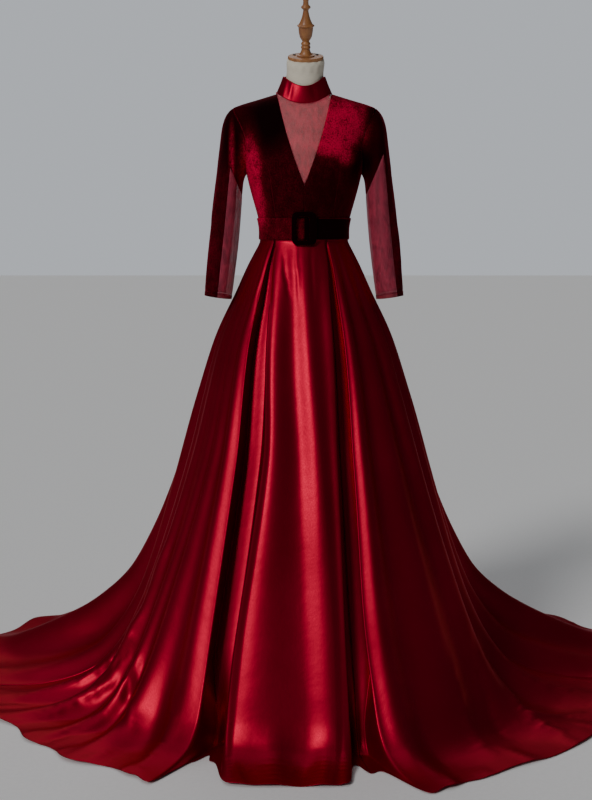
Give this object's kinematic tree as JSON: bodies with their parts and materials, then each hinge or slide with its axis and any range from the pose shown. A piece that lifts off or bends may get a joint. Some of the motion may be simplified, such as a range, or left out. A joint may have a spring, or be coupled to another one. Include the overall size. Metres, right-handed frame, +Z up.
{
  "type": "a-line prom dress with a sweep train on a limbless dress form with a stand",
  "caption": "Full-length A-line gown, velvet bodice with V inset and stand collar, long part-sheer sleeves, covered-buckle belt, pleated satin skirt with train, on a dress form.",
  "frame": {"origin": "on the floor, at the middle of the underside of the stand's base disc, under the form's axis", "axes": "+Z up; the front of the dress faces -Y; +X is to the right as seen from the front"},
  "size_m": [1.9586, 1.4032, 1.8555],
  "materials": {
    "satin": "glossy satin",
    "velvet": "velvet nap",
    "sheer": "fine sheer mesh",
    "linen": "plain linen weave",
    "wood": "clear varnish",
    "metal": "satin"
  },
  "bodies": {
    "root": {"bodice_front_L": "velvet", "bodice_front_R": "velvet", "bodice_side_L": "velvet", "bodice_side_R": "velvet", "bodice_back_L": "velvet", "bodice_back_R": "velvet", "neck_inset": "sheer", "collar_band": "satin", "sleeve_L": "velvet", "sleeve_R": "velvet", "sleeve_mesh_L": "sheer", "sleeve_mesh_R": "sheer", "sleeve_hem_L": "sheer", "sleeve_hem_R": "sheer", "belt_band": "velvet", "belt_tongue": "velvet", "belt_buckle": "velvet", "skirt_front": "satin", "skirt_side_L": "satin", "skirt_side_R": "satin", "skirt_back_L": "satin", "skirt_back_R": "satin", "form_torso": "linen", "neck_cap": "wood", "cap_screw_L": "metal", "cap_screw_R": "metal", "finial": "wood", "form_plate": "wood", "stand_pole": "metal", "stand_base": "wood"}
  },
  "joints": []
}
